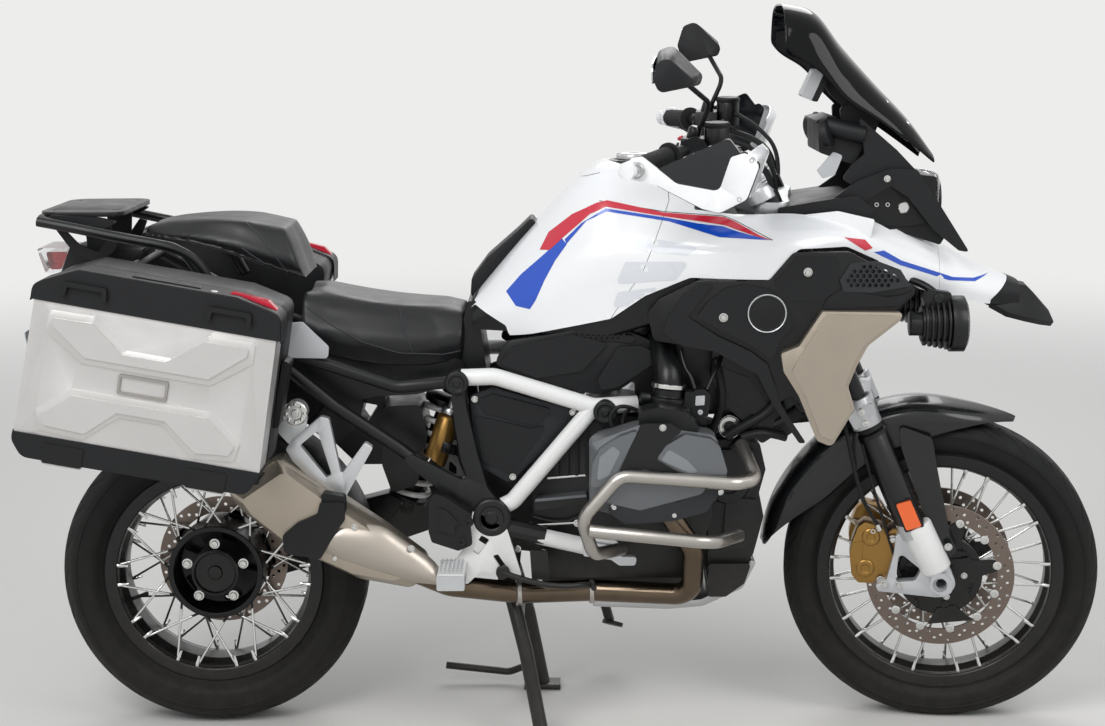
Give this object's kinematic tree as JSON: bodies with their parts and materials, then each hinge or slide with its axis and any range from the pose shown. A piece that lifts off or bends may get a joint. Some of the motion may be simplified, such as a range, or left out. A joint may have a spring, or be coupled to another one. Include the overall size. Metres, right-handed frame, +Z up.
{
  "type": "adventure motorcycle",
  "caption": "Adventure motorcycle on its centre stand, with wire wheels, two hard side cases, engine guards and a tall screen; wheels, steering, stands and case lids move.",
  "frame": {"origin": "on the floor, below the middle of the machine's box", "axes": "+X forward, +Y left, +Z up"},
  "size_m": [2.2234, 0.956, 1.4929],
  "materials": {
    "tyre rubber": "matte",
    "black wheel": "satin",
    "spoke steel": "bright",
    "disc steel": "machined",
    "white slider": "satin",
    "fork black": "gloss",
    "cast silver": "cast, painted silver",
    "bar black": "satin",
    "grip rubber": "matte",
    "white plastic": "painted gloss",
    "black plastic": "moulded, grained",
    "charcoal plastic": "satin",
    "champagne silver": "satin metallic",
    "gold anodised": "anodised",
    "engine grey": "cast, painted",
    "stainless": "satin",
    "plain aluminium": "brushed",
    "frame white": "powder coat",
    "frame black": "powder coat",
    "seat vinyl": "grained vinyl",
    "smoked screen": "smoked",
    "lamp glass": "clear",
    "tail lens": "clear red",
    "case silver": "satin"
  },
  "bodies": {
    "chassis": {"engine_block": "engine grey", "cylinders": "engine grey", "intakes": "black plastic", "skid_plate": "plain aluminium", "exhaust_pipe": "stainless", "exhaust_shields": "plain aluminium", "main_frame": "frame white", "rear_frame": "frame black", "engine_guards": "stainless", "swingarm": "frame black", "rear_shock": "frame white", "muffler": "champagne silver", "headlight": "lamp glass", "tank_cover": "white plastic", "shoulder_panels": "white plastic", "beak": "white plastic", "fuel_tank": "black plastic", "tank_pad": "black plastic", "beak_tip": "black plastic", "side_cowls": "black plastic", "wing_panels": "champagne silver", "radiators": "black wheel", "airbox_covers": "black plastic", "side_panels": "charcoal plastic", "rider_seat": "seat vinyl", "pillion_seat": "seat vinyl", "luggage_rack": "black wheel", "tail_light": "tail lens", "plate_holder": "black plastic", "nose_frame": "frame black", "windscreen": "smoked screen", "instrument": "black plastic", "aux_lamps": "black plastic", "front_suspension": "frame black", "footrests": "frame white", "pillion_footrests": "cast silver", "case_bases": "black plastic"},
    "front_wheel": {"front_tyre": "tyre rubber", "front_rim": "black wheel", "front_spokes": "spoke steel", "front_discs": "disc steel"},
    "rear_wheel": {"rear_tyre": "tyre rubber", "rear_rim": "black wheel", "rear_spokes": "spoke steel", "rear_disc": "disc steel"},
    "steering": {"fork_tubes": "fork black", "fork_legs": "white slider", "fork_yokes": "cast silver", "handlebar": "bar black", "grips": "grip rubber", "hand_guards": "white plastic", "mirrors": "black plastic", "front_mudguard": "charcoal plastic", "calipers": "gold anodised"},
    "centre_stand": {"centre_stand": "frame black"},
    "side_stand": {"side_stand": "frame black"},
    "fuel_cap": {"fuel_cap": "plain aluminium"},
    "case_lid_right": {"case_lid_right": "case silver"},
    "case_lid_left": {"case_lid_left": "case silver"}
  },
  "joints": [
    {"name": "steering", "type": "hinge", "parent": "chassis", "child": "steering", "pos_m": [0.8956, 0, 0], "axis": [-0.4337, 0, 0.9011], "range_deg": [-28, 44]},
    {"name": "front_wheel_spin", "type": "hinge", "parent": "steering", "child": "front_wheel", "pos_m": [0.79456, -0.00696, 0.32479], "axis": [0.1246, 0.9904, 0.06], "continuous": true},
    {"name": "rear_wheel_spin", "type": "hinge", "parent": "chassis", "child": "rear_wheel", "pos_m": [-0.73, 0, 0.324], "axis": [0, 1, 0], "continuous": true},
    {"name": "centre_stand_fold", "type": "hinge", "parent": "chassis", "child": "centre_stand", "pos_m": [-0.112, 0, 0.318], "axis": [0, 1, 0], "range_deg": [0, 82]},
    {"name": "side_stand_fold", "type": "hinge", "parent": "chassis", "child": "side_stand", "pos_m": [0.04, 0.172, 0.356], "axis": [-0.0295, 0.9061, 0.422], "range_deg": [0, 85.9]},
    {"name": "fuel_cap_hinge", "type": "hinge", "parent": "chassis", "child": "fuel_cap", "pos_m": [0.19, 0, 1.1873], "axis": [0, 1, 0], "range_deg": [0, 95]},
    {"name": "right_case_hinge", "type": "hinge", "parent": "chassis", "child": "case_lid_right", "pos_m": [-0.7999, -0.3953, 0.63097], "axis": [0.9839, 0, -0.1788], "range_deg": [0, 75]},
    {"name": "left_case_hinge", "type": "hinge", "parent": "chassis", "child": "case_lid_left", "pos_m": [-0.7999, 0.3953, 0.63097], "axis": [-0.9839, 0, 0.1788], "range_deg": [0, 75]}
  ]
}
